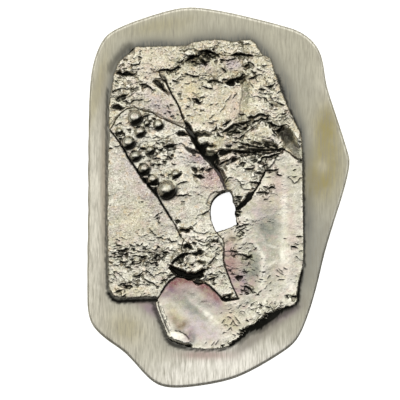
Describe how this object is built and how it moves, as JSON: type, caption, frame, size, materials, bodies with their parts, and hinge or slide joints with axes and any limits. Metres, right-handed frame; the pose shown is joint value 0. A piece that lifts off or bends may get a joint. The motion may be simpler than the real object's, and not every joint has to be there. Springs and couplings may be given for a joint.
{
  "type": "pendant brooch",
  "caption": "Flat silver pendant brooch: a smooth irregular back plate with a window carries a relief of torn, melted sheet and small balls; a pin and a chain tube sit behind.",
  "frame": {"origin": "centre of the brooch's outline, at the surface that it lies on", "axes": "+Y up along the brooch as worn, +X to its right as seen from the front, +Z out of its face"},
  "size_m": [0.0413, 0.0599, 0.0072],
  "materials": {
    "brushed_silver": "brushed silver with a soft warm tarnish",
    "polished_silver": "worn polished silver with pink and grey tarnish",
    "cream_silver": "bright reticulated silver, blackened in its folds",
    "grey_silver": "bright silver with a lilac tarnish, blackened in its folds",
    "fitting_silver": "plain satin silver"
  },
  "bodies": {
    "root": {"back_plate": "brushed_silver", "base_sheet": "polished_silver", "left_sheet": "grey_silver", "top_sheet": "cream_silver", "granule_strip": "grey_silver", "crest_sheet": "cream_silver", "middle_flap": "grey_silver", "pin_finding": "fitting_silver", "bail": "fitting_silver"}
  },
  "joints": []
}
